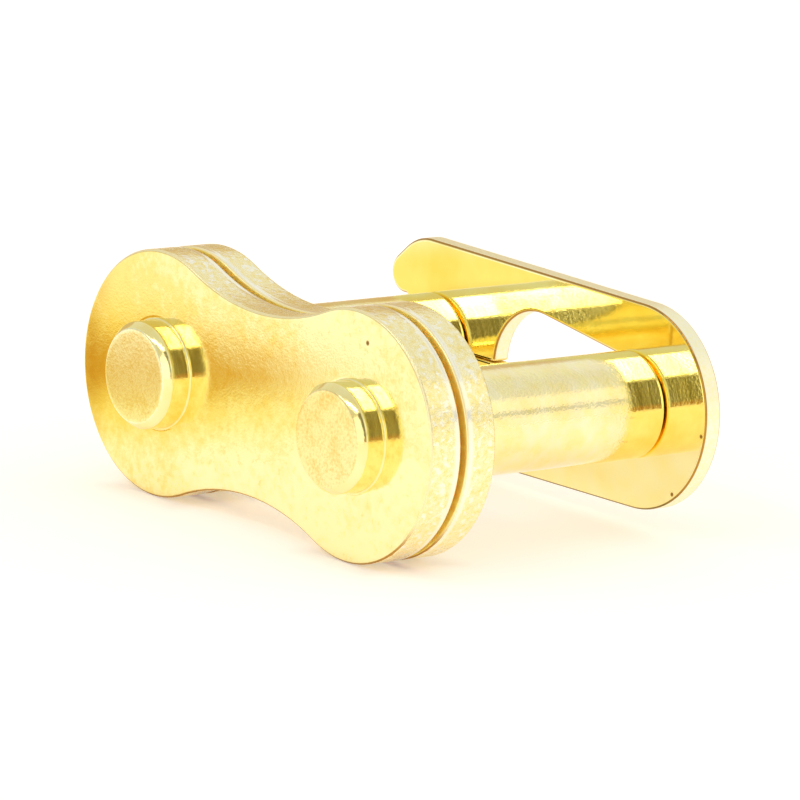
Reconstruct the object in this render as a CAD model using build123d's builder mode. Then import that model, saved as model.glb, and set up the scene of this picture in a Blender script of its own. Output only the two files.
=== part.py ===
from build123d import *
from math import hypot, radians, sqrt, tan
import os

# Connecting link of a roller chain with a 12.7 mm pitch
#
# A fixed plate holds two parallel pins. A loose cover plate slides along them, and a forked
# spring clip, seated in a groove near the free end of each pin, keeps it on. Sizes are in mm.
#
# Frame: the link stands on the lower edges of its plates. +Z is up, +X runs from pin_1 to pin_2,
# and +Y runs along the pins, from their heads to the clip. The origin is under the link's middle.

# Chain
pitch = 12.70  # from pin centre to pin centre
space_between_plates = 11.43  # with the cover plate out near the clip

# Plates
plate_thickness = 1.50
plate_depth = 10.20  # across a lobe
waist_dip = 1.30  # from a lobe's height in to the waist, each side
plate_arris = 0.25  # rounding round the outside
cover_play = 0.05  # round each pin, in the cover plate's holes
cover_standoff = 0.30  # from the fixed plate to the cover plate, pushed home

# Pins
pin_diameter = 4.45
head_height = 1.20  # outside the fixed plate
head_bevel_width = 0.275
head_bevel_height = 0.30
groove_depth = 0.525
land_length = 1.10  # past the groove, to the free end
land_bevel = 0.30

# Spring clip
clip_thickness = 0.80
clip_arris = 0.10
clip_side_play = 0.17  # from the cover plate, pushed out, to the clip
groove_play = 0.03  # beside the clip in the grooves
seat_play = 0.05  # round the grooves
release_play = 0.40  # round a pin's end, in the hole that passes over it
release_travel = 6.15  # from the closed end's seat to that hole
closed_end_width = 8.50
closed_end_reach = 4.65  # past the pin's centre
open_end_width = 8.84
shoulder_radius = 2.50  # outer corner of each leg
neck_grip = 0.525  # how far each leg closes in behind its pin's groove
neck_radius = 0.20
mouth_flare = 0.65  # from the neck out to the legs' ends, each side
mouth_angle = 40.0  # of that flare to the link's length, in degrees
leg_flat = 0.20  # from the flare to the rounded tip
tip_radius = 0.85
slit_width = 0.15  # from the open end's seat to the release hole: the legs almost touch

# Half sizes
half_pitch = pitch / 2
lobe_radius = plate_depth / 2
half_waist = lobe_radius - waist_dip
pin_radius = pin_diameter / 2
groove_radius = pin_radius - groove_depth
seat_radius = groove_radius + seat_play
release_radius = pin_radius + release_play
closed_end_radius = closed_end_width / 2

# Places along the pins, counted from the fixed plate's outer face
cover_near = plate_thickness + cover_standoff
cover_far = cover_near + plate_thickness
clip_near = 2 * plate_thickness + space_between_plates + clip_side_play
clip_far = clip_near + clip_thickness
groove_near = clip_near - groove_play
groove_far = clip_far + groove_play
pin_end = groove_far + land_length

# Places in the link's frame
outer_face = (head_height - pin_end) / 2
axis_height = lobe_radius
pin_places = {"pin_1": -half_pitch, "pin_2": half_pitch}
pin_centres = [(place, 0) for place in pin_places.values()]


def across(distance):
    """Plane square to the pins, this far from the fixed plate's outer face.

    Its own axes are the link's X and Z, and its origin lies midway between the pins.
    A positive extrusion from it runs back towards the heads.
    """
    return Plane(origin=(0, outer_face + distance, axis_height), x_dir=(1, 0, 0), z_dir=(0, -1, 0))


def rims(piece):
    """Outline edges of a flat piece's two faces, without those of its round holes."""
    return ShapeList(edge for face in piece.faces().filter_by(Axis.Y) for edge in face.outer_wire().edges())


# Outline of both plates: two round lobes, and a waist whose arcs run smoothly into them
waist_radius = (half_pitch**2 + half_waist**2 - lobe_radius**2) / (2 * waist_dip)
waist_centre = half_waist + waist_radius
lobe_share = lobe_radius / hypot(half_pitch, waist_centre)
join_x = half_pitch * (1 - lobe_share)
join_z = waist_centre * lobe_share
lobe_end = half_pitch + lobe_radius
with BuildSketch() as blank:
    with BuildLine():
        ThreePointArc((join_x, join_z), (lobe_end, 0), (join_x, -join_z))
        ThreePointArc((join_x, -join_z), (0, -half_waist), (-join_x, -join_z))
        ThreePointArc((-join_x, -join_z), (-lobe_end, 0), (-join_x, join_z))
        ThreePointArc((-join_x, join_z), (0, half_waist), (join_x, join_z))
    make_face()

# Fixed plate: the pins are pressed into it
with BuildPart() as fixed_plate:
    with BuildSketch(across(plate_thickness)):
        add(blank.sketch)
        with Locations(*pin_centres):
            Circle(pin_radius, mode=Mode.SUBTRACT)
    extrude(amount=plate_thickness)
    fillet(rims(fixed_plate), plate_arris)
fixed_plate.part.label = "fixed_plate"

# Cover plate: the same blank, with holes that slide on the pins
with BuildPart() as cover_plate:
    with BuildSketch(across(cover_far)):
        add(blank.sketch)
        with Locations(*pin_centres):
            Circle(pin_radius + cover_play, mode=Mode.SUBTRACT)
    extrude(amount=plate_thickness)
    fillet(rims(cover_plate), plate_arris)
cover_plate.part.label = "cover_plate"

# Pins: turned, with their profile drawn from the free end round to the head
pins = {}
for name, place in pin_places.items():
    with BuildPart() as pin:
        with BuildSketch(Plane.XY.offset(axis_height).shift_origin((place, outer_face, axis_height))):
            with BuildLine():
                Polyline(
                    (0, pin_end),
                    (pin_radius - land_bevel, pin_end),
                    (pin_radius, pin_end - land_bevel),
                    (pin_radius, groove_far),
                    (groove_radius, groove_far),
                    (groove_radius, groove_near),
                    (pin_radius, groove_near),
                    (pin_radius, head_bevel_height - head_height),
                    (pin_radius - head_bevel_width, -head_height),
                    (0, -head_height),
                    close=True,
                )
            make_face()
        revolve(axis=Axis((place, 0, axis_height), (0, 1, 0)))
    pin.part.label = name
    pins[name] = pin

# Clip's slot: from the hole that passes over a pin's end, along to the closed end's seat
release_hole = half_pitch - release_travel
with BuildSketch() as slot:
    with Locations((half_pitch, 0)):
        Circle(seat_radius)
    with Locations((release_hole, 0)):
        Circle(release_radius)
    make_hull()

# Clip's mouth: it widens from the neck behind pin_1 to the rounded tips of the legs
half_neck = groove_radius - neck_grip
half_mouth = half_neck + mouth_flare
neck_x = -half_pitch - sqrt(seat_radius**2 - half_neck**2)
flare_root = neck_x + half_neck / tan(radians(mouth_angle))
flare_end = neck_x - mouth_flare / tan(radians(mouth_angle))
tip_x = flare_end - leg_flat
tip_z = half_mouth + tip_radius
leg_end = tip_x - tip_radius
outside = leg_end - tip_radius
with BuildSketch() as mouth:
    with BuildLine():
        Polyline((tip_x, -half_mouth), (flare_end, -half_mouth), (flare_root, 0))
        Polyline((flare_root, 0), (flare_end, half_mouth), (tip_x, half_mouth))
        RadiusArc((tip_x, half_mouth), (leg_end, tip_z), tip_radius)
        Polyline((leg_end, tip_z), (outside, tip_z), (outside, -tip_z), (leg_end, -tip_z))
        RadiusArc((leg_end, -tip_z), (tip_x, -half_mouth), tip_radius)
    make_face()

# Spring clip: flat, closed round pin_2 and forked round pin_1
shoulder_x = leg_end + shoulder_radius
shoulder_z = open_end_width / 2 - shoulder_radius
with BuildPart() as spring_clip:
    with BuildSketch(across(clip_far)) as profile:
        with Locations((half_pitch + closed_end_reach - closed_end_radius, 0)):
            Circle(closed_end_radius)
        with Locations((shoulder_x, shoulder_z), (shoulder_x, -shoulder_z)):
            Circle(shoulder_radius)
        with Locations((tip_x, tip_z), (tip_x, -tip_z)):
            Circle(tip_radius)
        make_hull()
        add(mouth.sketch, mode=Mode.SUBTRACT)
        with Locations((-half_pitch, 0)):
            Circle(seat_radius, mode=Mode.SUBTRACT)
        necks = [profile.vertices().sort_by_distance((neck_x, z))[0] for z in (half_neck, -half_neck)]
        fillet(necks, neck_radius)
        with Locations(((release_hole - half_pitch) / 2, 0)):
            Rectangle(release_hole + half_pitch, slit_width, mode=Mode.SUBTRACT)
        add(slot.sketch, mode=Mode.SUBTRACT)
    extrude(amount=clip_thickness)
    fillet(rims(spring_clip), clip_arris)
spring_clip.part.label = "spring_clip"

os.makedirs("parts", exist_ok=True)
export_step(fixed_plate.part, "parts/fixed_plate.step")
export_step(cover_plate.part, "parts/cover_plate.step")
for name, pin in pins.items():
    export_step(pin.part, f"parts/{name}.step")
export_step(spring_clip.part, "parts/spring_clip.step")
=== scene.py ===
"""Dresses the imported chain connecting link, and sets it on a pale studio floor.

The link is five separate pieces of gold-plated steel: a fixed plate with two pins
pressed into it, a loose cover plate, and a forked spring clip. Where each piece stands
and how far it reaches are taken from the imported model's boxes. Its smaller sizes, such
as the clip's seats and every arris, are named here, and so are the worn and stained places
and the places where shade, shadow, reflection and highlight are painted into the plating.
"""

import logging
import math
from abc import ABC, abstractmethod
from collections.abc import Callable
from dataclasses import dataclass, fields, replace
from enum import Enum

import bmesh
import bpy
from mathutils import Matrix, Vector


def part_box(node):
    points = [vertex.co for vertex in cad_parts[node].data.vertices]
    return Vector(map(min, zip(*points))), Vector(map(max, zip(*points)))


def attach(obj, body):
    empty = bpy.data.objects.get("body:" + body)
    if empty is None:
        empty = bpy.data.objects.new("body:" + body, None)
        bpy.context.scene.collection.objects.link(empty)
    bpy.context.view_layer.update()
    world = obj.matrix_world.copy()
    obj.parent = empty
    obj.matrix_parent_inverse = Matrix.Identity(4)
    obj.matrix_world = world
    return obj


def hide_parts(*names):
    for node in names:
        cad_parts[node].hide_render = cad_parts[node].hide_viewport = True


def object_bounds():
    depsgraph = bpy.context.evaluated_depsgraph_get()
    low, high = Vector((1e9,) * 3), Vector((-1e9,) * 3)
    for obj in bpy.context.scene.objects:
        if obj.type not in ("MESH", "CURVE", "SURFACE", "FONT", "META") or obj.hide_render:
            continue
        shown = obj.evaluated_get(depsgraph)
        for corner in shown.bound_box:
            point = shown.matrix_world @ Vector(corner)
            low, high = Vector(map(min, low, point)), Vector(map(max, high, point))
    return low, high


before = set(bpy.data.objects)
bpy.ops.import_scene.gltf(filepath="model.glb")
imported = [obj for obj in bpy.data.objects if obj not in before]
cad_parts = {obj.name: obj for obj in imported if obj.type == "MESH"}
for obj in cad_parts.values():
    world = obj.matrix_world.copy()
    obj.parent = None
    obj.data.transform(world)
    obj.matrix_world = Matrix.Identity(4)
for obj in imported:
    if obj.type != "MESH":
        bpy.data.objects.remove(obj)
cad_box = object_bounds()

log = logging.getLogger("connecting_link")

MM = 0.001
ARC_STEP = 3.0  # degrees of an arc to each straight edge
MERGE = 0.001 * MM
SMOOTH_BELOW = math.radians(32)
SHARP_ABOVE = math.radians(40)

Socket = bpy.types.NodeSocket
Colour = tuple[float, float, float, float]
Relief = tuple[Socket, Socket | float]  # a pattern, and its height in metres

SMOOTH = {"interpolation_type": "SMOOTHSTEP"}  # a change that eases in and out


# Modelling bench


class Workpiece:
    """One mesh on the bench, with the hand operations that shape it.

    The object stands at its own middle while it is worked on, so that its mirror
    planes lie there, and its place goes into the mesh when it is finished.
    """

    def __init__(self, name: str, middle: Vector) -> None:
        """Starts a piece as a single vertex at its middle, in edit mode.

        Args:
            name: Name of the piece.
            middle: Point of the link's frame that the piece is symmetric about.
        """
        if bpy.context.mode != "OBJECT":
            bpy.ops.object.mode_set(mode="OBJECT")
        bpy.ops.object.select_all(action="DESELECT")
        bpy.ops.mesh.primitive_plane_add(size=MM, location=middle)
        self.obj = bpy.context.active_object
        self.obj.name = name
        self.obj.data.name = name
        self.middle = middle.copy()
        self.pen = Vector((0, 0, 0))
        bpy.ops.object.mode_set(mode="EDIT")
        self.select_all()
        bpy.ops.mesh.merge(type="CENTER")

    def lift_pen(self) -> None:
        """Puts a new vertex for the pen at the piece's middle, apart from what is drawn."""
        bpy.ops.mesh.select_all(action="DESELECT")
        bpy.ops.mesh.primitive_plane_add(size=MM, location=self.middle)
        bpy.ops.mesh.merge(type="CENTER")
        self.pen = Vector((0, 0, 0))

    def move_to(self, place: Vector) -> None:
        """Moves what is selected, which is the pen's vertex, to a place."""
        bpy.ops.transform.translate(value=place - self.pen)
        self.pen = place.copy()

    def run_to(self, place: Vector) -> None:
        """Draws a straight edge from the pen's vertex to a place."""
        bpy.ops.mesh.extrude_region_move(TRANSFORM_OT_translate={"value": place - self.pen})
        self.pen = place.copy()

    def sweep(self, centre: Vector, degrees: float) -> None:
        """Draws an arc from the pen's vertex.

        Args:
            centre: Centre of the arc, from the piece's middle.
            degrees: How far round to go, positive from +X towards +Z.
        """
        angle = math.radians(degrees)
        steps = max(2, math.ceil(abs(degrees) / ARC_STEP))
        bpy.ops.mesh.spin(steps=steps, angle=angle, center=self.middle + centre, axis=(0, 1, 0))
        self.pen = centre + Matrix.Rotation(angle, 3, Vector((0, -1, 0))) @ (self.pen - centre)

    def select_all(self) -> None:
        """Selects the whole mesh, by its vertices."""
        bpy.ops.mesh.select_mode(type="VERT")
        bpy.ops.mesh.select_all(action="SELECT")

    def mirror(self, across_x: bool, across_z: bool) -> None:
        """Mirrors the mesh about the piece's middle and applies it.

        Args:
            across_x: Make the other half along X.
            across_z: Make the other half along Z.
        """
        bpy.ops.object.mode_set(mode="OBJECT")
        modifier = self.obj.modifiers.new("halves", "MIRROR")
        modifier.use_axis = (across_x, False, across_z)
        modifier.use_mirror_merge = True
        modifier.merge_threshold = MERGE
        bpy.ops.object.modifier_apply(modifier=modifier.name)
        bpy.ops.object.mode_set(mode="EDIT")

    def thicken(self, thickness: float, border: float) -> None:
        """Makes a solid of a closed outline, with a narrow border inside every rim.

        The border keeps the wide faces flat when their rims are rounded.

        Args:
            thickness: Thickness along Y.
            border: Width of the border, more than the rounding.
        """
        self.select_all()
        bpy.ops.mesh.remove_doubles(threshold=MERGE)
        self.select_all()
        bpy.ops.mesh.fill(use_beauty=True)
        self.select_all()
        bpy.ops.mesh.inset(thickness=border, use_boundary=True, use_even_offset=True)
        self.select_all()
        for rise in (border, thickness - 2 * border, border):
            bpy.ops.mesh.extrude_region_move(TRANSFORM_OT_translate={"value": (0, rise, 0)})
        self.close()

    def round_rims(self, width: float, segments: int, test: Callable[[Vector], bool]) -> None:
        """Rounds the sharp edges whose middle passes a test.

        Args:
            width: Radius of the rounding.
            segments: Faces across the rounding.
            test: Says whether an edge's middle, from the piece's middle, is wanted.
        """
        bpy.ops.mesh.select_all(action="DESELECT")
        bpy.ops.mesh.select_mode(type="EDGE")
        mesh = bmesh.from_edit_mesh(self.obj.data)
        for edge in mesh.edges:
            sharp = len(edge.link_faces) == 2 and edge.calc_face_angle() >= SHARP_ABOVE
            if sharp and test((edge.verts[0].co + edge.verts[1].co) / 2):
                edge.select_set(True)
        mesh.select_flush_mode()
        bmesh.update_edit_mesh(self.obj.data)
        bpy.ops.mesh.bevel(offset=width, segments=segments, profile=0.5, affect="EDGES", clamp_overlap=False)

    def close(self) -> None:
        """Merges doubles and points every face outwards."""
        self.select_all()
        bpy.ops.mesh.remove_doubles(threshold=MERGE)
        self.select_all()
        bpy.ops.mesh.normals_make_consistent(inside=False)

    def finish(self) -> bpy.types.Object:
        """Smooths the piece and puts its place into its mesh.

        Returns:
            The finished object, at the origin.
        """
        self.close()
        bpy.ops.object.mode_set(mode="OBJECT")
        bpy.ops.object.select_all(action="DESELECT")
        self.obj.select_set(True)
        bpy.context.view_layer.objects.active = self.obj
        bpy.ops.object.transform_apply(location=True, rotation=True, scale=True)
        bpy.ops.object.shade_smooth_by_angle(angle=SMOOTH_BELOW)
        return self.obj


def at(x: float, z: float, y: float = 0.0) -> Vector:
    """A place on a flat piece, from its middle: along the pitch, up, and along the pins."""
    return Vector((x, y, z))


def cut_card(
    name: str, size: tuple[float, float], middle: Vector, turn: tuple[float, float, float] = (0, 0, 0)
) -> bpy.types.Object:
    """Cuts a flat card for the studio, with its place in its mesh.

    Args:
        name: Name of the card.
        size: Its width and height.
        middle: Place of its middle.
        turn: Its turns about X, Y and Z, from lying flat.

    Returns:
        The card.
    """
    bpy.ops.object.select_all(action="DESELECT")
    bpy.ops.mesh.primitive_plane_add(size=1.0, location=middle, rotation=turn)
    card = bpy.context.active_object
    card.name = name
    card.scale = (*size, 1)
    bpy.ops.object.transform_apply(location=True, rotation=True, scale=True)
    return card


# Finishes


def linear(hex_colour: str) -> Colour:
    """Turns an sRGB hex colour into the linear colour that shaders take.

    Args:
        hex_colour: Six hex digits, with or without a leading hash.

    Returns:
        Red, green, blue and an alpha of 1.
    """
    digits = hex_colour.lstrip("#")
    channels = []
    for start in (0, 2, 4):
        value = int(digits[start : start + 2], 16) / 255
        channels.append(value / 12.92 if value <= 0.04045 else ((value + 0.055) / 1.055) ** 2.4)
    return (channels[0], channels[1], channels[2], 1.0)


def add_node(
    tree: bpy.types.NodeTree, kind: str, inputs: dict[str | int, object] | None = None, **settings: object
) -> Socket:
    """Adds a node with its settings, and fills or links its inputs.

    Args:
        tree: Node tree to add to.
        kind: Blender's name for the node type, without its ShaderNode.
        inputs: For each input, by name or number, a value or the output to link to it.
        **settings: Attributes of the node itself.

    Returns:
        The node's first output in use, or nothing for an end node.
    """
    node = tree.nodes.new("ShaderNode" + kind)
    for name, value in settings.items():
        setattr(node, name, value)
    for name, value in (inputs or {}).items():
        if isinstance(name, str):
            socket = next(entry for entry in node.inputs if entry.enabled and entry.name == name)
        else:
            socket = node.inputs[name]
        if isinstance(value, Socket):
            tree.links.new(value, socket)
        else:
            socket.default_value = value
    return next((entry for entry in node.outputs if entry.enabled), None)


def start_material(name: str) -> tuple[bpy.types.Material, bpy.types.NodeTree]:
    """Makes an empty node material.

    Args:
        name: Name of the material.

    Returns:
        The material and its node tree, with no nodes in it.
    """
    material = bpy.data.materials.new(name)
    material.use_nodes = True
    material.node_tree.nodes.clear()
    return material, material.node_tree


def distance_from(tree: bpy.types.NodeTree, coordinate: Socket, place: float) -> Socket:
    """Works out how far a coordinate is from a place on its axis, either way."""
    offset = add_node(tree, "Math", {0: coordinate, 1: place}, operation="SUBTRACT")
    return add_node(tree, "Math", {0: offset}, operation="ABSOLUTE")


@dataclass(frozen=True)
class GoldPlating:
    """Bright yellow gold plating, which tints what the steel under it mirrors."""

    bright: str = "#FFF8BC"
    rich: str = "#FCE68A"
    deep: str = "#F3DC7C"
    # Painted shade, at the plates' far end.
    brown: str = "#CFA03E"
    thin: str = "#FFF0B8"
    # Whitish: the clip's pale edge grain, and painted highlight on the plates' edges.
    burnish_and_highlight: str = "#FFFBE2"
    broken: str = "#FFF7C8"
    satin: str = "#FFF4B2"
    shaded: str = "#FDF294"
    dull: str = "#F7E07E"
    worn: str = "#FFF6DE"
    # Painted shade on the clip's arrises, and painted shadow on the plates' arrises near the foot.
    painted_arris_shade: str = "#B98A3C"
    # Painted shade, in the pins' groove and on the clip's arrises near the foot.
    painted_deep_shade: str = "#8A7038"
    stain: str = "#9A7430"


@dataclass(frozen=True)
class Pattern:
    """An uneven pattern in a finish: the width of its blotches, and how rough they are inside."""

    width: float
    detail: float
    roughness: float = 0.5


@dataclass(frozen=True)
class Ramp:
    """A change: where it starts and stops, and the values that it runs between."""

    start: float
    stop: float
    first: float = 0.0
    last: float = 1.0

    def placed(self, origin: float, unit: float = 1.0) -> "Ramp":
        """The same change, with its start and stop counted from an origin, in units."""
        return Ramp(origin + self.start * unit, origin + self.stop * unit, self.first, self.last)

    def of(self, value: Socket) -> dict[str, Socket | float]:
        """The inputs with which a node makes the change to a value."""
        ends = {"From Min": self.start, "From Max": self.stop, "To Min": self.first, "To Max": self.last}
        return {"Value": value, **ends}


@dataclass(frozen=True)
class Coat:
    """One look of a surface, and the share of it that shows from place to place.

    A coat with no roughness keeps the gloss of what is under it, and the first of a
    surface's coats has no share, because it lies everywhere.
    """

    colour: Socket | Colour
    roughness: Socket | float | None = None
    share: Socket | None = None


class Surface:
    """A surface in the making: its material, and the outputs that its coats read."""

    def __init__(self, name: str, patterns: dict[str, Pattern]) -> None:
        """Starts the material, with its coordinates and its uneven patterns.

        Args:
            name: Name of the material.
            patterns: The uneven patterns of the finish, by name.
        """
        self.material, self.tree = start_material(name)
        self.place = add_node(self.tree, "TexCoord").node.outputs["Object"]
        self.x, self.y, self.z = add_node(self.tree, "SeparateXYZ", {0: self.place}).node.outputs
        self.noise = {}
        for kind, size in patterns.items():
            blotches = {"Scale": 1 / size.width, "Detail": size.detail, "Roughness": size.roughness}
            self.noise[kind] = add_node(self.tree, "TexNoise", {"Vector": self.place, **blotches})

    def two_tone(self, value: Socket, ramp: Ramp, low: str, high: str, **settings: object) -> Socket:
        """Blends two tones of plating.

        Args:
            value: What decides between them.
            ramp: Where the low tone gives way to the high one.
            low: The tone below the change.
            high: The tone above it.
            **settings: How the change runs, where it isn't even.

        Returns:
            The blend's colour.
        """
        share = add_node(self.tree, "MapRange", ramp.of(value), **settings)
        tones = {"Factor": share, "A": linear(low), "B": linear(high)}
        return add_node(self.tree, "Mix", tones, data_type="RGBA")

    def finish(self, coats: list[Coat], reliefs: list[Relief]) -> bpy.types.Material:
        """Lays the coats over each other, adds up the relief and ends in a metal's shader.

        Args:
            coats: The coats, from the lowest up.
            reliefs: The patterns in the relief.

        Returns:
            The finished node material.
        """
        colour, roughness, height = coats[0].colour, coats[0].roughness, 0.0
        for coat in coats[1:]:
            over = {"Factor": coat.share, "A": colour, "B": coat.colour}
            colour = add_node(self.tree, "Mix", over, data_type="RGBA")
            if coat.roughness is not None:
                over = {"Factor": coat.share, "A": roughness, "B": coat.roughness}
                roughness = add_node(self.tree, "Mix", over, data_type="FLOAT")
        for pattern, rise in reliefs:
            height = add_node(self.tree, "Math", {0: pattern, 1: rise, 2: height}, operation="MULTIPLY_ADD")
        normal = add_node(self.tree, "Bump", {"Height": height, "Distance": 1.0, "Strength": 1.0})
        metal = {"Base Color": colour, "Metallic": 1.0, "Roughness": roughness, "Normal": normal}
        shader = add_node(self.tree, "BsdfPrincipled", metal)
        add_node(self.tree, "OutputMaterial", {"Surface": shader})
        return self.material


@dataclass(frozen=True, kw_only=True)
class PlatedSteel(ABC):
    """What every gold-plated finish of the link has: its plating, and a few tiny dark pits."""

    name: str
    plating: GoldPlating = GoldPlating()
    pits: tuple[Vector, ...] = ()
    pit_rim: Ramp = Ramp(0.05 * MM, 0.14 * MM, 1, 0)
    pit_roughness: float = 0.5

    def make(self) -> bpy.types.Material:
        """Makes the material.

        Returns:
            The finished node material.
        """
        values = {entry.name: getattr(self, entry.name) for entry in fields(self)}
        patterns = {name: value for name, value in values.items() if isinstance(value, Pattern)}
        surface = Surface(self.name, patterns)
        coats, reliefs = self.dress(surface)
        for pit in self.pits:
            reach = add_node(surface.tree, "VectorMath", {0: surface.place, 1: pit}, operation="DISTANCE")
            inside = add_node(surface.tree, "MapRange", self.pit_rim.of(reach), **SMOOTH)
            coats.append(Coat(linear(self.plating.stain), self.pit_roughness, inside))
        return surface.finish(coats, reliefs)

    @abstractmethod
    def dress(self, surface: Surface) -> tuple[list[Coat], list[Relief]]:
        """Works out the surface's coats and relief.

        Args:
            surface: The surface in the making.

        Returns:
            The coats, from the lowest up, and the patterns in the relief.
        """


@dataclass(frozen=True, kw_only=True)
class TumbledPlate(PlatedSteel):
    """Gold-plated steel, blanked from strip and tumbled in stones."""

    # Tumbling leaves the wide faces glossy, with faint dimples and cloudy plating. Painted
    # reflection makes them richer towards one end and paler low down, and painted shade browns
    # the far end. The blanked edges keep their broken grain. They are glossier in a band beside
    # the gap and in single glints, and painted highlight whitens them there. The plating is thin
    # and pale on the arrises, and painted shadow darkens them to bronze near the foot. The faces
    # that meet in the gap aren't reached by the stones, so they stay satin.

    near_face: float
    far_face: float
    gap_face: float
    arris: float
    cloud: Pattern = Pattern(5.0 * MM, 3.0, 0.6)
    patch: Pattern = Pattern(1.5 * MM, 3.0, 0.6)
    fleck: Pattern = Pattern(0.45 * MM, 4.0, 0.65)
    dimple: Pattern = Pattern(0.55 * MM, 1.0)
    glint: Pattern = Pattern(0.30 * MM, 2.0)
    torn: Pattern = Pattern(0.22 * MM, 3.0, 0.6)
    # The real grain is finer, at about 0.05 mm: it is drawn coarse enough to show.
    grain: Pattern = Pattern(0.10 * MM, 2.0, 0.6)
    patch_share: float = 0.8
    dimple_height: float = 0.0022 * MM
    grain_height: float = 0.0024 * MM
    torn_height: float = 0.026 * MM

    # Roughness, which follows a pattern where it is a ramp.
    face_roughness: Ramp = Ramp(0.3, 0.7, 0.075, 0.135)
    edge_roughness: Ramp = Ramp(0.3, 0.7, 0.312, 0.168)
    burnished_roughness: float = 0.16
    arris_roughness: float = 0.35
    gap_roughness: float = 0.78

    # Strengths of the patterns at which one tone gives way to the next.
    face_tones: Ramp = Ramp(1.14, 1.62)
    fleck_tones: Ramp = Ramp(0.55, 0.85)
    torn_tones: Ramp = Ramp(0.38, 0.72)
    glint_tones: Ramp = Ramp(0.56, 0.64)
    gap_tones: Ramp = Ramp(0.80, 1.20)

    # Places: in from a face in parts of the arris, out from it, and from the gap.
    edge_stop: Ramp = Ramp(0.9, 0.5, 1, 0)
    rub_start: Ramp = Ramp(0.95, 0.55)
    rub_stop: Ramp = Ramp(-0.02 * MM, 0.0, 1, 0)
    gap_rim: Ramp = Ramp(0.005 * MM, 0.03 * MM, 1, 0)
    burnish_rim: Ramp = Ramp(0.288 * MM, 0.45 * MM, 1, 0)
    wander: float = 0.12 * MM

    # Places along the pitch and up the plate. Painted reflection makes the faces richer towards one end
    # and paler low down, and painted shade browns the far end and darkens the arrises near the foot.
    rich_end: Ramp = Ramp(-11.0 * MM, 4.0 * MM, 0.30, -0.10)
    pale_foot: Ramp = Ramp(0.5 * MM, 4.5 * MM, -0.14, 0.0)
    painted_shade_end: Ramp = Ramp(-11.4 * MM, -9.3 * MM, 1, 0)
    painted_shadow_foot: Ramp = Ramp(1.04 * MM, 2.60 * MM)

    def dress(self, surface: Surface) -> tuple[list[Coat], list[Relief]]:
        """Works out the looks of the faces, the edge, the arrises and the gap.

        Args:
            surface: The surface in the making.

        Returns:
            The coats, from the lowest up, and the patterns in the relief.
        """
        tree, noise, plating = surface.tree, surface.noise, self.plating
        edge, burnish_and_highlight, arris, gap = self._find_zones(surface)
        mottle = add_node(tree, "Math", {0: noise["patch"], 1: noise["glint"]}, operation="ADD")
        # Painted shade browns the far end of the faces.
        tip = add_node(tree, "MapRange", self.painted_shade_end.of(surface.x), **SMOOTH)
        painted_shade = add_node(tree, "Math", {0: tip, 1: noise["patch"]}, operation="MULTIPLY")
        flecks, glints, face_gloss, torn_gloss = (
            add_node(tree, "MapRange", ramp.of(noise[kind]))
            for kind, ramp in (
                ("fleck", self.fleck_tones),
                ("glint", self.glint_tones),
                ("fleck", self.face_roughness),
                ("torn", self.edge_roughness),
            )
        )

        # The edge's broken grain is glossier in a band beside the gap and in single glints, and painted
        # highlight whitens it there.
        shiny = add_node(tree, "Math", {0: burnish_and_highlight, 1: glints}, operation="MAXIMUM")
        broken = surface.two_tone(noise["torn"], self.torn_tones, plating.broken, plating.rich)
        shone = {"Factor": shiny, "A": broken, "B": linear(plating.burnish_and_highlight)}
        edge_tone = add_node(tree, "Mix", shone, data_type="RGBA")
        shone = {"Factor": shiny, "A": torn_gloss, "B": self.burnished_roughness}
        edge_gloss = add_node(tree, "Mix", shone, data_type="FLOAT")
        unburnished = add_node(tree, "Math", {0: edge, 1: burnish_and_highlight}, operation="SUBTRACT", use_clamp=True)
        torn_rise = add_node(tree, "Math", {0: unburnished, 1: self.torn_height}, operation="MULTIPLY")

        # Painted shadow darkens the arrises to bronze near the foot.
        rim = surface.two_tone(surface.z, self.painted_shadow_foot, plating.painted_arris_shade, plating.thin, **SMOOTH)
        unreached = surface.two_tone(mottle, self.gap_tones, plating.shaded, plating.dull)
        coats = [
            Coat(self._face_tone(surface, mottle), face_gloss),
            Coat(linear(plating.brown), share=painted_shade),
            Coat(linear(plating.deep), share=flecks),
            Coat(edge_tone, edge_gloss, edge),
            Coat(rim, self.arris_roughness, arris),
            Coat(unreached, self.gap_roughness, gap),
        ]
        heights = (("dimple", self.dimple_height), ("grain", self.grain_height), ("torn", torn_rise))
        return coats, [(noise[kind], height) for kind, height in heights]

    def _find_zones(self, surface: Surface) -> tuple[Socket, Socket, Socket, Socket]:
        """Works out where on the plate the surface is.

        Args:
            surface: The surface in the making.

        Returns:
            Shares of the edge, its glossy band beside the gap where highlight is painted, the arrises and the
            gap.
        """
        tree, fleck = surface.tree, surface.noise["fleck"]
        half = (self.far_face - self.near_face) / 2
        depth = distance_from(tree, surface.y, (self.near_face + self.far_face) / 2)
        from_gap = distance_from(tree, surface.y, self.gap_face)
        ragged_depth, ragged_gap = (
            add_node(tree, "Math", {0: fleck, 1: self.wander, 2: distance}, operation="MULTIPLY_ADD")
            for distance in (depth, from_gap)
        )
        edge, rubbed, short_of_face, burnish_and_highlight, gap = (
            add_node(tree, "MapRange", ramp.of(distance), **SMOOTH)
            for distance, ramp in (
                (depth, self.edge_stop.placed(half, -self.arris)),
                (ragged_depth, self.rub_start.placed(half + self.wander / 2, -self.arris)),
                (depth, self.rub_stop.placed(half)),
                (ragged_gap, self.burnish_rim),
                (from_gap, self.gap_rim),
            )
        )
        arris = add_node(tree, "Math", {0: rubbed, 1: short_of_face}, operation="MULTIPLY")
        return edge, burnish_and_highlight, arris, gap

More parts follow.
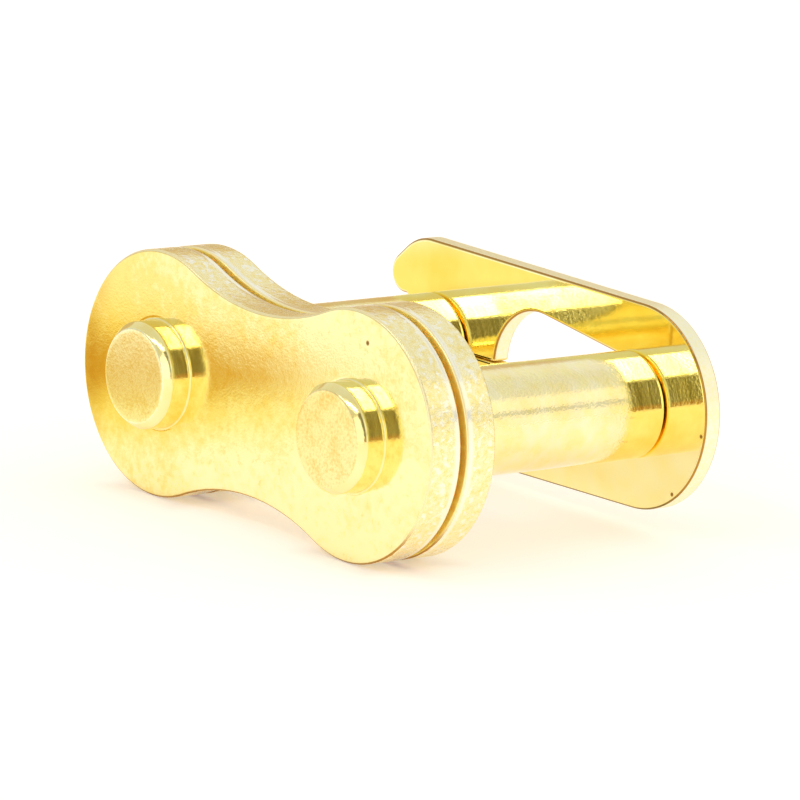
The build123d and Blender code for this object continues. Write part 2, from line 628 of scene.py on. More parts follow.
    def _face_tone(self, surface: Surface, mottle: Socket) -> Socket:
        """Blends the tone of the wide faces: cloudy, with painted reflection making them richer towards one
        end and paler low down.

        Args:
            surface: The surface in the making.
            mottle: The plating's small blotches.

        Returns:
            The tone's colour.
        """
        clouds = {0: mottle, 1: self.patch_share, 2: surface.noise["cloud"]}
        tone = add_node(surface.tree, "Math", clouds, operation="MULTIPLY_ADD")
        for coordinate, ramp in ((surface.x, self.rich_end), (surface.z, self.pale_foot)):
            lean = add_node(surface.tree, "MapRange", ramp.of(coordinate), **SMOOTH)
            tone = add_node(surface.tree, "Math", {0: tone, 1: lean}, operation="ADD")
        return surface.two_tone(tone, self.face_tones, self.plating.bright, self.plating.rich)


@dataclass(frozen=True, kw_only=True)
class GroundPin(PlatedSteel):
    """Gold-plated hardened steel, ground and polished round its axis."""

    # Grinding and polishing leave the side glossy, with a fine grain that breaks up sharp
    # reflections and faint rings along it. The cropped head is satin and a little deeper.
    # Between the plates and the clip the side's grain is coarser, and wear can thin its
    # plating in blotches until the steel pales it. Painted shade darkens the groove.

    head_face: float
    groove: tuple[float, float]
    cloud: Pattern = Pattern(2.4 * MM, 4.0, 0.6)
    blotch: Pattern = Pattern(0.9 * MM, 3.0, 0.6)
    # The real grain and rings are finer, at about 0.04 mm: they are drawn to show.
    grain: Pattern = Pattern(0.13 * MM, 2.0, 0.6)
    ring_width: float = 0.10 * MM
    ring_draw: tuple[float, float, float] = (0.03, 1.0, 0.03)
    ring_height: float = 0.0003 * MM
    grain_height: float = 0.003 * MM
    worn_grain_height: float = 0.009 * MM
    head_grain_height: float = 0.005 * MM
    side_roughness: Ramp = Ramp(0.3, 0.7, 0.07, 0.14)
    head_roughness: float = 0.22
    side_tones: Ramp = Ramp(0.32, 0.70)
    head_tones: Ramp = Ramp(0.92, 1.40)
    head_rim: Ramp = Ramp(0.01 * MM, 0.04 * MM, 1, 0)
    groove_rim: Ramp = Ramp(-0.01 * MM, 0.03 * MM, 1, 0)
    wear_start: Ramp = Ramp(-4.5 * MM, -4.0 * MM)
    wear_stop: Ramp = Ramp(4.4 * MM, 5.6 * MM, 1, 0)
    wear_blotches: Ramp = Ramp(0.35, 0.65)
    worn_share: float = 0.0

    def dress(self, surface: Surface) -> tuple[list[Coat], list[Relief]]:
        """Works out the looks of the side, its worn stretch, the groove and the head.

        Args:
            surface: The surface in the making.

        Returns:
            The coats, from the lowest up, and the patterns in the relief.
        """
        tree, noise, plating = surface.tree, surface.noise, self.plating
        near, far = self.groove
        off_groove = distance_from(tree, surface.y, (near + far) / 2)
        head, sunk, short_of_clip = (
            add_node(tree, "MapRange", ramp.of(place), **SMOOTH)
            for place, ramp in (
                (surface.y, self.head_rim.placed(self.head_face)),
                (off_groove, self.groove_rim.placed((far - near) / 2)),
                (surface.y, self.wear_stop),
            )
        )
        past_plates = add_node(tree, "MapRange", self.wear_start.of(surface.y))
        worn = add_node(tree, "Math", {0: past_plates, 1: short_of_clip}, operation="MULTIPLY")
        thinning = replace(self.wear_blotches, last=self.worn_share)
        thinned = add_node(tree, "MapRange", thinning.of(noise["blotch"]))
        bared = add_node(tree, "Math", {0: worn, 1: thinned}, operation="MULTIPLY")
        uneven = add_node(tree, "Math", {0: noise["grain"], 1: noise["blotch"]}, operation="ADD")
        drawn = add_node(tree, "VectorMath", {0: surface.place, 1: self.ring_draw}, operation="MULTIPLY")
        ring = add_node(tree, "TexNoise", {"Vector": drawn, "Scale": 1 / self.ring_width})
        side_gloss = add_node(tree, "MapRange", self.side_roughness.of(ring))
        rise = self.grain_height
        for share, height in ((worn, self.worn_grain_height), (head, self.head_grain_height)):
            rise = add_node(tree, "Mix", {"Factor": share, "A": rise, "B": height}, data_type="FLOAT")

        side = surface.two_tone(noise["cloud"], self.side_tones, plating.bright, plating.rich)
        cropped = surface.two_tone(uneven, self.head_tones, plating.satin, plating.deep)
        coats = [
            Coat(side, side_gloss),
            Coat(linear(plating.worn), share=bared),
            # Painted shade darkens the groove.
            Coat(linear(plating.painted_deep_shade), share=sunk),
            Coat(cropped, self.head_roughness, head),
        ]
        return coats, [(noise["grain"], rise), (ring, self.ring_height)]


@dataclass(frozen=True, kw_only=True)
class RolledSpring(PlatedSteel):
    """Gold-plated spring steel, blanked from bright rolled strip."""

    # Rolling leaves the faces close to a mirror, only very slightly wavy, with a few
    # tiny pits. The blanked edges are a little duller and paler. Painted shade darkens the
    # arrises to bronze, painted shadow darkens them more near the foot, and painted shade
    # deepens the tone beside the slit.

    near_face: float
    far_face: float
    arris: float
    slit_height: float
    cloud: Pattern = Pattern(4.0 * MM, 3.0, 0.6)
    wave: Pattern = Pattern(2.6 * MM, 0.0)
    # The real edge grain is finer, at about 0.05 mm: it is drawn coarse enough to show.
    grain: Pattern = Pattern(0.13 * MM, 2.0, 0.6)
    wave_height: float = 0.006 * MM
    grain_height: float = 0.005 * MM
    face_roughness: float = 0.04
    edge_roughness: float = 0.42
    face_tones: Ramp = Ramp(0.40, 0.75)
    edge_tones: Ramp = Ramp(0.35, 0.75)
    # Places: in from a face in parts of the arris, up the clip, and from the slit.
    edge_stop: Ramp = Ramp(0.8, 0.2, 1, 0)
    arris_start: Ramp = Ramp(0.9, 0.5)
    arris_stop: Ramp = Ramp(0.1, 0.01, 1, 0)
    painted_shadow_foot: Ramp = Ramp(1.12 * MM, 2.80 * MM)
    slit_rim: Ramp = Ramp(0.10 * MM, 0.16 * MM, 1, 0)
    pit_rim: Ramp = Ramp(0.05 * MM, 0.12 * MM, 1, 0)

    def dress(self, surface: Surface) -> tuple[list[Coat], list[Relief]]:
        """Works out the looks of the faces, the edge, the arrises and the slit.

        Args:
            surface: The surface in the making.

        Returns:
            The coats, from the lowest up, and the patterns in the relief.
        """
        tree, noise, plating = surface.tree, surface.noise, self.plating
        half = (self.far_face - self.near_face) / 2
        depth = distance_from(tree, surface.y, (self.near_face + self.far_face) / 2)
        edge, past_edge, short_of_face = (
            add_node(tree, "MapRange", ramp.placed(half, -self.arris).of(depth), **SMOOTH)
            for ramp in (self.edge_stop, self.arris_start, self.arris_stop)
        )
        arris = add_node(tree, "Math", {0: past_edge, 1: short_of_face}, operation="MULTIPLY")
        # Painted shade deepens the tone beside the slit.
        off_slit = distance_from(tree, surface.z, self.slit_height)
        beside = add_node(tree, "MapRange", self.slit_rim.of(off_slit))
        legs = add_node(tree, "Math", {0: surface.x, 1: 0.0}, operation="LESS_THAN")
        slit = add_node(tree, "Math", {0: beside, 1: legs}, operation="MULTIPLY")
        rise = add_node(tree, "Math", {0: edge, 1: self.grain_height}, operation="MULTIPLY")

        face = surface.two_tone(noise["cloud"], self.face_tones, plating.bright, plating.rich)
        broken = surface.two_tone(noise["grain"], self.edge_tones, plating.burnish_and_highlight, plating.bright)
        # Painted shade darkens the arrises to bronze, and painted shadow darkens them more near the foot.
        rim = surface.two_tone(surface.z, self.painted_shadow_foot, plating.painted_deep_shade, plating.painted_arris_shade, **SMOOTH)
        coats = [
            Coat(face, self.face_roughness),
            Coat(broken, self.edge_roughness, edge),
            Coat(rim, share=arris),
            Coat(linear(plating.rich), share=slit),
        ]
        return coats, [(noise["wave"], self.wave_height), (noise["grain"], rise)]


# Pieces of the link


@dataclass
class PinPair:
    """Where the two pins stand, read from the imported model."""

    first: Vector
    second: Vector
    radius: float
    head_end: float
    free_end: float

    @classmethod
    def measured(cls) -> "PinPair":
        """Reads the pins' places and sizes from their boxes.

        Returns:
            The pair as packed.
        """
        low_1, high_1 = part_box("pin_1")
        low_2, high_2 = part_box("pin_2")
        return cls(
            first=(low_1 + high_1) / 2,
            second=(low_2 + high_2) / 2,
            radius=(high_1.z - low_1.z) / 2,
            head_end=low_1.y,
            free_end=high_1.y,
        )

    @property
    def half_pitch(self) -> float:
        """Half the distance between the pins."""
        return (self.second.x - self.first.x) / 2

    def middle(self, y: float) -> Vector:
        """Point midway between the pins' axes, at a place along them."""
        return Vector(((self.first.x + self.second.x) / 2, y, self.first.z))


class Side(Enum):
    """The two wide faces of a plate, by where they lie along the pins."""

    NEAR = "towards the heads"
    FAR = "towards the clip"


@dataclass
class OuterPlate:
    """One of the two waisted plates, blanked from strip and tumbled."""

    node: str
    name: str
    body: str
    pins: PinPair
    gap_side: Side
    finish_name: str
    play: float = 0.0
    pits: tuple[tuple[float, float], ...] = ()  # from the middle, along the pitch and up
    waist_dip: float = 1.30 * MM
    near_arris: float = 0.12 * MM
    far_arris: float = 0.20 * MM
    hole_arris: float = 0.06 * MM
    border: float = 0.06 * MM
    rim_segments: int = 6
    hole_segments: int = 2

    def build(self) -> bpy.types.Object:
        """Models the plate from a quarter of its outline.

        Returns:
            The finished plate.
        """
        low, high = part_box(self.node)
        thickness = high.y - low.y
        lobe = (high.z - low.z) / 2
        half_pitch = self.pins.half_pitch
        half_waist = lobe - self.waist_dip
        waist = (half_pitch**2 + half_waist**2 - lobe**2) / (2 * self.waist_dip)
        waist_centre = half_waist + waist
        lobe_turn = 180 - math.degrees(math.atan2(waist_centre, half_pitch))
        waist_turn = math.degrees(math.atan2(half_pitch, waist_centre))
        hole = self.pins.radius + self.play

        def at_hole(place: Vector) -> bool:
            """True for a place on the wall of one of the two holes."""
            return math.hypot(abs(place.x) - half_pitch, place.z) < hole + self.border / 2

        piece = Workpiece(self.name, self.pins.middle(low.y))
        piece.move_to(at(half_pitch + lobe, 0))
        piece.sweep(at(half_pitch, 0), lobe_turn)
        piece.sweep(at(0, waist_centre), -waist_turn)
        piece.lift_pen()
        piece.move_to(at(half_pitch + hole, 0))
        piece.sweep(at(half_pitch, 0), 180)
        piece.mirror(across_x=True, across_z=True)
        piece.thicken(thickness, max(self.near_arris, self.far_arris) + self.border)
        piece.round_rims(self.hole_arris, self.hole_segments, at_hole)
        for arris, side in ((self.near_arris, 0), (self.far_arris, thickness)):
            piece.round_rims(
                arris,
                self.rim_segments,
                lambda place, side=side: abs(place.y - side) < self.border and not at_hole(place),
            )
        return piece.finish()

    def fit(self) -> bpy.types.Object:
        """Builds the plate, dresses it and fits it to the model.

        Returns:
            The fitted plate.
        """
        low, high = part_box(self.node)
        finish = TumbledPlate(
            name=self.finish_name,
            near_face=low.y,
            far_face=high.y,
            gap_face=low.y if self.gap_side is Side.NEAR else high.y,
            arris=self.near_arris,
            pits=tuple(self.pins.middle(low.y) + at(*pit) for pit in self.pits),
        )
        plate = self.build()
        plate.data.materials.append(finish.make())
        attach(plate, self.body)
        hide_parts(self.node)
        return plate


@dataclass
class LinkPins:
    """The two pins, turned alike: a low head bevel, a groove for the clip and a bevelled end."""

    pins: PinPair
    clip_play: float = 0.03 * MM  # in the groove, on both sides of the clip
    near_play: float = 0.06 * MM  # more of it, on the heads' side
    groove_depth: float = 0.525 * MM
    head_bevel: tuple[float, float] = (0.275 * MM, 0.30 * MM)
    end_bevel: float = 0.30 * MM
    edge: float = 0.05 * MM
    groove_edge: float = 0.09 * MM
    edge_segments: int = 3
    collar: float = 0.07 * MM
    collar_border: float = 0.021 * MM
    collar_turns: tuple[float, ...] = (0, 30, 60, 90)
    turning_steps: int = 128
    worn_share: float = 0.45

    @property
    def groove(self) -> tuple[float, float]:
        """Where the groove starts and stops along the pins."""
        low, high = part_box("spring_clip")
        return low.y - self.clip_play, high.y + self.clip_play

    def build(self, name: str) -> bpy.types.Object:
        """Models the first pin by spinning its profile round its axis.

        Args:
            name: Name of the piece.

        Returns:
            The finished pin.
        """
        radius = self.pins.radius
        centre = self.pins.first
        half = (self.pins.free_end - self.pins.head_end) / 2
        inner = radius - self.groove_depth
        near, far = (place - centre.y for place in self.groove)
        near -= self.near_play
        width, height = self.head_bevel
        border = 2 * self.groove_edge  # keeps the runs beside a rounded edge straight
        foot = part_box("fixed_plate")[0].y - centre.y
        # A hollow curve of metal is pushed up round the head where it is pressed in.
        turns = [math.radians(turn) for turn in self.collar_turns]
        outs = [radius + self.collar * (1 - math.cos(turn)) for turn in turns]
        rises = [foot - self.collar * (1 - math.sin(turn)) for turn in turns]
        first, *profile = (
            at(0, 0, -half),
            at(radius - width - border, 0, -half),
            at(radius - width, 0, -half),
            at(radius, 0, -half + height),
            at(radius, 0, -half + height + border),
            at(radius, 0, foot - self.collar - self.collar_border),
            *(at(out, 0, rise) for out, rise in zip(outs, rises)),
            at(radius, 0, foot),
            at(radius, 0, near - border),
            at(radius, 0, near),
            at(inner, 0, near),
            at(inner, 0, far),
            at(radius, 0, far),
            at(radius, 0, half - self.end_bevel),
            at(radius - self.end_bevel, 0, half),
            at(radius - self.end_bevel - border, 0, half),
            at(0, 0, half),
        )
        piece = Workpiece(name, centre)
        piece.move_to(first)
        for place in profile:
            piece.run_to(place)
        piece.select_all()
        bpy.ops.mesh.spin(steps=self.turning_steps, angle=math.tau, center=centre, axis=(0, 1, 0))
        piece.close()
        for edge, start, stop in (
            (self.edge, -math.inf, foot - 2 * self.collar),
            (self.edge, far + border, math.inf),
            (self.groove_edge, near - border / 2, far + border),
        ):
            piece.round_rims(
                edge, self.edge_segments, lambda place, start=start, stop=stop: start <= place.y <= stop
            )
        return piece.finish()

    def copy(self, pin: bpy.types.Object, name: str) -> bpy.types.Object:
        """Copies the first pin, with its own mesh, to the second pin's place.

        Args:
            pin: The first pin.
            name: Name of the copy.

        Returns:
            The second pin.
        """
        bpy.ops.object.select_all(action="DESELECT")
        pin.select_set(True)
        bpy.context.view_layer.objects.active = pin
        bpy.ops.object.duplicate(linked=False)
        second = bpy.context.active_object
        second.name = name
        second.data.name = name
        bpy.ops.transform.translate(value=self.pins.second - self.pins.first)
        bpy.ops.object.transform_apply(location=True, rotation=True, scale=True)
        return second

    def fit(self) -> list[bpy.types.Object]:
        """Builds both pins, dresses them and fits them to the model.

        Returns:
            The two pins.
        """
        finish = GroundPin(
            name="ground_gold_plated_steel",
            head_face=self.pins.head_end,
            groove=self.groove,
            plating=GoldPlating(satin="#FFFCD0", deep="#F8E48C"),
        )
        worn_finish = replace(
            finish,
            name="ground_gold_plated_steel_worn",
            plating=GoldPlating(satin="#FFF0AC", deep="#F0CE6E"),
            worn_share=self.worn_share,
        )
        first = self.build("pin_at_open_end")
        second = self.copy(first, "pin_at_closed_end")
        for pin, node, coating in ((first, "pin_1", finish), (second, "pin_2", worn_finish)):
            pin.data.materials.append(coating.make())
            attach(pin, "pinned_plate")
            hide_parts(node)
        return [first, second]


@dataclass
class SpringClip:
    """The flat forked spring, blanked from rolled strip: closed at one end, with two legs."""

    name: str
    pins: PinPair
    groove_radius: float = 1.70 * MM
    seat: float = 1.75 * MM
    release: float = 2.625 * MM
    release_travel: float = 6.15 * MM
    closed_end_width: float = 8.50 * MM
    open_end_width: float = 8.84 * MM
    shoulder: float = 2.50 * MM
    neck_grip: float = 0.525 * MM
    neck_round: float = 0.20 * MM
    mouth_flare: float = 0.65 * MM
    mouth_angle: float = 40.0
    leg_flat: float = 0.20 * MM
    tip: float = 0.85 * MM
    slit: float = 0.06 * MM
    arris: float = 0.10 * MM
    border: float = 0.05 * MM
    rim_segments: int = 4
    # From the middle, along the pitch and up.
    pits: tuple[tuple[float, float], ...] = ((9.23 * MM, -3.17 * MM), (10.75 * MM, -0.46 * MM))

    @property
    def mouth_at(self) -> Vector:
        """Works out where the mouth's upper flare ends, outside.

        Returns:
            The place, from the clip's middle.
        """
        half_neck = self.groove_radius - self.neck_grip
        neck_x = -self.pins.half_pitch - math.sqrt(self.seat**2 - half_neck**2)
        flare = self.mouth_flare / math.tan(math.radians(self.mouth_angle))
        return at(neck_x - flare, half_neck + self.mouth_flare)

    def build(self) -> bpy.types.Object:
        """Models the clip from the upper half of its outline.

        Returns:
            The finished clip.
        """
        low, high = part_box("spring_clip")
        middle = self.pins.middle(low.y)
        piece = Workpiece(self.name, middle)
        self._draw_outside(piece, low.x - middle.x, high.x - middle.x)
        self._draw_inside(piece)
        piece.mirror(across_x=False, across_z=True)
        piece.thicken(high.y - low.y, self.arris + self.border)
        piece.round_rims(self.arris, self.rim_segments, lambda place: True)
        return piece.finish()

    def _draw_outside(self, piece: Workpiece, open_end: float, closed_end: float) -> None:
        """Draws the outside, from the closed end round the leg's tip to the mouth.

        Args:
            piece: The clip's new outline.
            open_end: How far along the pitch the legs end.
            closed_end: How far along it the closed end reaches.
        """
        closed = self.closed_end_width / 2
        closed_at = at(closed_end - closed, 0)
        shoulder_at = at(open_end + self.shoulder, self.open_end_width / 2 - self.shoulder)
        tip_at = self.mouth_at + at(-self.leg_flat, self.tip)
        side = self._tangent(closed_at, closed, shoulder_at, self.shoulder)
        corner = self._tangent(shoulder_at, self.shoulder, tip_at, self.tip)
        piece.move_to(at(closed_end, 0))
        piece.sweep(closed_at, side)
        piece.run_to(self._on_circle(shoulder_at, self.shoulder, side))
        piece.sweep(shoulder_at, corner - side)
        piece.run_to(self._on_circle(tip_at, self.tip, corner))
        piece.sweep(tip_at, 270 - corner)
        piece.run_to(self.mouth_at)

    def _draw_inside(self, piece: Workpiece) -> None:
        """Draws the inside, from the mouth through the open end's seat and the slit to the slot's end.

        Args:
            piece: The clip's outline, with its pen at the mouth.
        """
        seat_at = at(-self.pins.half_pitch, 0)
        slot_at = at(self.pins.half_pitch, 0)
        release_at = at(self.pins.half_pitch - self.release_travel, 0)
        seat_start = self._draw_neck(piece, seat_at)
        seat_stop = math.degrees(math.asin(self.slit / 2 / self.seat))
        release_start = 180 - math.degrees(math.asin(self.slit / 2 / self.release))
        slot_side = self._tangent(slot_at, self.seat, release_at, self.release)
        piece.sweep(seat_at, seat_stop - seat_start)
        piece.run_to(self._on_circle(release_at, self.release, release_start))
        piece.sweep(release_at, slot_side - release_start)
        piece.run_to(self._on_circle(slot_at, self.seat, slot_side))
        piece.sweep(slot_at, -slot_side)

    def _draw_neck(self, piece: Workpiece, seat_at: Vector) -> float:
        """Draws the flare from the pen's place, and the rounded corner that it ends in.

        Args:
            piece: The clip's outline, with its pen at the outer end of the flare.
            seat_at: Centre of the open end's seat.

        Returns:
            The angle at which the corner meets the seat, in degrees from +X towards +Z.
        """
        angle = math.radians(self.mouth_angle)
        along = at(math.cos(angle), -math.sin(angle))
        into_leg = at(math.sin(angle), math.cos(angle))
        offset = piece.pen + self.neck_round * into_leg - seat_at
        reach = self.seat + self.neck_round
        half_sum = offset.dot(along)
        run = -half_sum - math.sqrt(half_sum**2 - offset.length_squared + reach**2)
        foot = piece.pen + run * along
        corner_at = foot + self.neck_round * into_leg
        piece.run_to(foot)
        meet = math.degrees(math.atan2(corner_at.z - seat_at.z, corner_at.x - seat_at.x))
        piece.sweep(corner_at, (meet + 180) - (270 - self.mouth_angle))
        return meet

    @staticmethod
    def _tangent(first: Vector, first_radius: float, second: Vector, second_radius: float) -> float:
        """Angle of the radius at which a straight edge touches two circles on their upper side.

        Args:
            first: Centre of the circle that is met first, going round to the left.
            first_radius: Its radius.
            second: Centre of the next circle.
            second_radius: Its radius.

        Returns:
            The angle in degrees from +X towards +Z.
        """
        run = second - first
        heading = math.degrees(math.atan2(run.z, run.x))
        return heading - math.degrees(math.acos((first_radius - second_radius) / math.hypot(run.x, run.z)))

    @staticmethod
    def _on_circle(centre: Vector, radius: float, degrees: float) -> Vector:
        """Point of a circle at an angle from +X towards +Z."""
        angle = math.radians(degrees)
        return centre + at(radius * math.cos(angle), radius * math.sin(angle))

    def fit(self) -> bpy.types.Object:
        """Builds the clip, dresses it and fits it to the model.

        Returns:
            The fitted clip.
        """
        low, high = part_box("spring_clip")
        finish = RolledSpring(
            name="rolled_gold_plated_spring_steel",
            near_face=low.y,
            far_face=high.y,
            arris=self.arris,
            slit_height=self.pins.first.z,
            pits=tuple(self.pins.middle(low.y) + at(*pit) for pit in self.pits),
        )
        clip = self.build()
        clip.data.materials.append(finish.make())
        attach(clip, "spring_clip")
        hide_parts("spring_clip")
        return clip


# Studio


def light_up(card: bpy.types.Object, glow: float, colour: str) -> None:
    """Makes a card shine, and hides it from the camera.

    Args:
        card: The card.
        glow: Its brightness, where 1 is white.
        colour: Its colour.
    """
    # A card that is lit evenly is plain and flat, so the metal mirrors it as one clean patch.
    material, tree = start_material(card.name)
    shine = add_node(tree, "Emission", {"Color": linear(colour), "Strength": glow})
    add_node(tree, "OutputMaterial", {"Surface": shine})
    card.data.materials.append(material)
    card.visible_camera = False


@dataclass(frozen=True)
class Panel:
    """A flat lit card that stands in the studio and faces the link, unseen by the camera."""

    name: str
    middle: tuple[float, float, float]
    width: float
    height: float
    glow: float
    colour: str = "#FFFFFF"

    def stand(self) -> None:
        """Stands the card in its place, upright and turned to the link."""
        heading = math.atan2(self.middle[1], self.middle[0])
        turn = (math.pi / 2, 0, heading + math.pi / 2)
        card = cut_card(self.name, (self.width, self.height), Vector(self.middle), turn)
        light_up(card, self.glow, self.colour)


@dataclass(frozen=True)
class ArcPanel:
    """A lit card cut to an arc about the pins' direction, in an upright plane before the link.

    Angles are in degrees from +X, rising, and the radii are in parts of the distance.
    """

    name: str
    distance: float
    inner: float
    outer: float
    start: float
    stop: float
    glow: float
    colour: str = "#FFFFFF"

    def stand(self) -> None:
        """Spins the card from its straight lower edge."""
        piece = Workpiece(self.name, Vector((0, -self.distance, 0)))
        angle = math.radians(self.start)
        reach = self.distance * at(math.cos(angle), math.sin(angle))
        piece.move_to(self.inner * reach)
        piece.run_to(self.outer * reach)
        piece.select_all()
        piece.sweep(at(0, 0), self.stop - self.start)
        light_up(piece.finish(), self.glow, self.colour)


@dataclass(frozen=True)
class PaperFloor:
    """A pale paper floor that keeps the link's shadow."""

    # Matt paper is even and soft. The camera, metal and glass see it lifted towards white,
    # a little less close to the plates' feet, as painted shadow where the real one darkens.

    pins: PinPair
    side: float = 3.0
    tint: str = "#F6ECE2"
    lift: Ramp = Ramp(1.6 * MM, 3.2 * MM, 0.24, 0.36)

    def lay(self) -> None:
        """Lays the floor under the link."""
        floor = cut_card("studio_floor", (self.side, self.side), Vector((0, 0, cad_box[0].z)))
        material, tree = start_material("warm_white_paper")
        rays = add_node(tree, "LightPath").node.outputs
        seen = rays["Is Camera Ray"]
        for kind in ("Is Glossy Ray", "Is Transmission Ray"):
            seen = add_node(tree, "Math", {0: seen, 1: rays[kind]}, operation="ADD", use_clamp=True)
        place = add_node(tree, "TexCoord").node.outputs["Object"]
        x, y, _ = add_node(tree, "SeparateXYZ", {0: place}).node.outputs
        from_plates = distance_from(tree, y, (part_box("fixed_plate")[0].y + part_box("cover_plate")[1].y) / 2)
        from_foot = distance_from(tree, distance_from(tree, x, 0.0), self.pins.half_pitch)
        clear = add_node(tree, "Math", {0: from_plates, 1: from_foot}, operation="MAXIMUM")
        lift = add_node(tree, "MapRange", self.lift.of(clear), **SMOOTH)
        strength = add_node(tree, "Math", {0: seen, 1: lift}, operation="MULTIPLY")
        glow = add_node(tree, "Emission", {"Strength": strength})
        sheet = add_node(tree, "BsdfDiffuse", {"Color": linear(self.tint)})
        total = add_node(tree, "AddShader", {0: sheet, 1: glow})
        add_node(tree, "OutputMaterial", {"Surface": total})
        floor.data.materials.append(material)


@dataclass(frozen=True)
class GoldCard:
    """A sheet of gold card that lies before the link, which only the metal sees."""

    # Satin gold foil with a brown core: it has a cloudy rim and fades out all round, so that
    # the link mirrors a soft warm patch with no edges.

    middle: tuple[float, float] = (-30.0 * MM, -19.0 * MM)
    core: tuple[float, float] = (-26.0 * MM, -23.0 * MM)
    clearance: float = 0.2 * MM
    side: float = 60 * MM
    glow: float = 1.06
    tint: str = "#FFF0A0"
    core_tint: str = "#D9A93E"
    cloud: Pattern = Pattern(7 * MM, 3.0)
    drift: float = 9 * MM
    core_rim: Ramp = Ramp(7 * MM, 16 * MM, 1, 0)
    fade: Ramp = Ramp(10 * MM, 24 * MM, 1, 0)
    squeeze: tuple[float, float, float] = (1.0, 1.5, 0.0)

    def lay(self) -> None:
        """Lays the card on the floor."""
        height = cad_box[0].z + self.clearance
        middle, core = Vector((*self.middle, height)), Vector((*self.core, height))
        sheet = cut_card("gold_card", (self.side, self.side), middle)
        material, tree = start_material("cloudy_gold_card")
        place = add_node(tree, "TexCoord").node.outputs["Object"]
        clouds = {"Vector": place, "Scale": 1 / self.cloud.width, "Detail": self.cloud.detail}
        cloud = add_node(tree, "TexNoise", clouds)
        to_core = add_node(tree, "VectorMath", {0: place, 1: core}, operation="DISTANCE")
        ragged = add_node(tree, "Math", {0: cloud, 1: self.drift, 2: to_core}, operation="MULTIPLY_ADD")
        centred = add_node(tree, "VectorMath", {0: place, 1: middle}, operation="SUBTRACT")
        squeezed = add_node(tree, "VectorMath", {0: centred, 1: self.squeeze}, operation="MULTIPLY")
        reach = add_node(tree, "VectorMath", {0: squeezed}, operation="LENGTH")
        share, shown = (
            add_node(tree, "MapRange", ramp.of(value), **SMOOTH)
            for value, ramp in ((ragged, self.core_rim), (reach, self.fade))
        )
        tones = {"Factor": share, "A": linear(self.tint), "B": linear(self.core_tint)}
        tone = add_node(tree, "Mix", tones, data_type="RGBA")
        glow = add_node(tree, "Emission", {"Color": tone, "Strength": self.glow})
        clear = add_node(tree, "BsdfTransparent")
        shader = add_node(tree, "MixShader", {0: shown, 1: clear, 2: glow})
        add_node(tree, "OutputMaterial", {"Surface": shader})
        sheet.data.materials.append(material)
        sheet.visible_camera = False
        sheet.visible_diffuse = False
        sheet.visible_shadow = False
        sheet.visible_transmission = False


@dataclass(frozen=True)
class CameraStand:
    """The camera, in front of the heads, to the right and a little above."""

    place: tuple[float, float, float] = (205.568 * MM, -169.276 * MM, 61.178 * MM)
    aim: tuple[float, float, float] = (0.0, 0.0, 4.6 * MM)
    roll: float = 3.36
    lens: float = 300.0
    film_width: float = 36.0
    sight: tuple[float, float] = (0.01, 10.0)

    def stand(self) -> None:
        """Puts the camera in its place and makes it the scene's own."""
        data = bpy.data.cameras.new("camera")
        data.sensor_width = self.film_width
        data.lens = self.lens
        data.clip_start, data.clip_end = self.sight
        camera = bpy.data.objects.new("camera", data)
        bpy.context.scene.collection.objects.link(camera)
        look = (Vector(self.aim) - Vector(self.place)).to_track_quat("-Z", "Y").to_matrix()
        turn = look @ Matrix.Rotation(math.radians(self.roll), 3, "Z")
        camera.matrix_world = Matrix.Translation(self.place) @ turn.to_4x4()
        bpy.context.scene.camera = camera


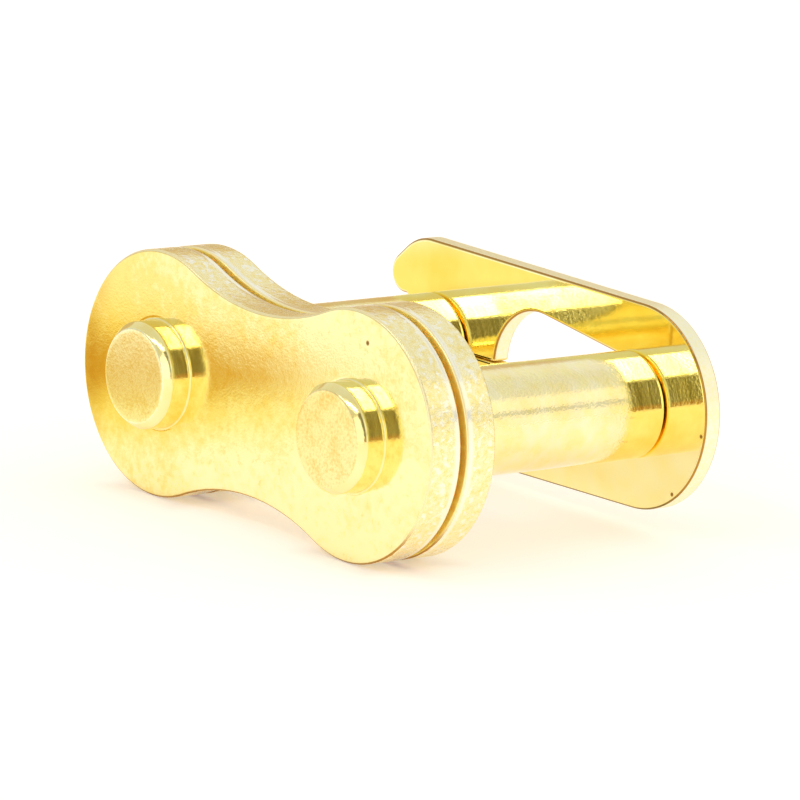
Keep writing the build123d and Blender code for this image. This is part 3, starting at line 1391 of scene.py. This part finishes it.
@dataclass
class Studio:
    """A pale floor under plain soft light, and the camera."""

    pins: PinPair
    sky: Ramp = Ramp(-0.6, 0.5, 0.72, 0.90)  # from before the link to behind it
    glossy_bounces: int = 12
    bounces: int = 16
    # Arcs: distance, inner and outer radius, start and stop, glow. Walls: middle, width, height, glow.
    panels: tuple[Panel | ArcPanel, ...] = (
        ArcPanel("front_softbox", 0.60, 0.22, 1.11, -3.0, 62.0, 1.4),
        ArcPanel("upper_striplight", 0.60, 1.18, 1.34, 66.0, 128.0, 6.5),
        ArcPanel("dark_flag", 0.56, 1.11, 1.50, 9.0, 61.5, 0.20, "#FFF2C0"),
        ArcPanel("brown_flag", 0.56, 1.11, 1.50, 0.0, 9.0, 0.50, "#E8B070"),
        Panel("right_wall", (0.82, 0.38, 0.42), 1.50, 0.86, 1.12, "#FFFAEE"),
        Panel("right_wall_rail", (0.80, 0.37, 0.30), 1.30, 0.12, 0.70),
        Panel("back_rail", (-0.05, 0.56, 0.72), 1.20, 0.09, 0.70),
        Panel("left_back_wall", (-0.62, 0.45, 0.20), 1.10, 0.40, 0.68, "#FFE3B4"),
    )

    def set_up(self) -> None:
        """Lays the floor, lights the room and stands the camera."""
        PaperFloor(self.pins).lay()
        GoldCard().lay()
        self._open_sky()
        for panel in self.panels:
            panel.stand()
        # Light has to bounce often to come back out of the gap between the plates.
        bpy.context.scene.cycles.glossy_bounces = self.glossy_bounces
        bpy.context.scene.cycles.max_bounces = self.bounces
        CameraStand().stand()
        bpy.context.scene.view_settings.view_transform = "Standard"

    def _open_sky(self) -> None:
        """Lights the room evenly, a little less from before the link, and white to the camera."""
        world = bpy.data.worlds.new("studio")
        bpy.context.scene.world = world
        world.use_nodes = True
        tree = world.node_tree
        tree.nodes.clear()
        seen = add_node(tree, "LightPath").node.outputs["Is Camera Ray"]
        towards = add_node(tree, "TexCoord").node.outputs["Generated"]
        back = add_node(tree, "SeparateXYZ", {0: towards}).node.outputs["Y"]
        level = add_node(tree, "MapRange", self.sky.of(back))
        strength = add_node(tree, "Mix", {"Factor": seen, "A": level, "B": 1.0}, data_type="FLOAT")
        sky = add_node(tree, "Background", {"Color": linear("#FFFFFF"), "Strength": strength})
        add_node(tree, "OutputWorld", {"Surface": sky})


def main() -> None:
    """Builds, dresses and fits each piece in order, then sets up the studio."""
    logging.basicConfig(level=logging.INFO, format="%(message)s")
    pins = PinPair.measured()
    fixed = OuterPlate(
        node="fixed_plate",
        name="fixed_side_plate",
        body="pinned_plate",
        pins=pins,
        gap_side=Side.FAR,
        finish_name="tumbled_gold_plated_steel_fixed",
        far_arris=0.12 * MM,
        pits=((7.11 * MM, 3.90 * MM),),
    )
    cover = OuterPlate(
        node="cover_plate",
        name="loose_side_plate",
        body="cover_plate",
        pins=pins,
        gap_side=Side.NEAR,
        finish_name="tumbled_gold_plated_steel_cover",
        play=0.05 * MM,
    )
    for piece in (fixed.fit(), cover.fit(), *LinkPins(pins).fit(), SpringClip("fork_clip", pins).fit()):
        log.info("%s: %d faces", piece.name, len(piece.data.polygons))
    Studio(pins).set_up()


if __name__ == "__main__":
    main()
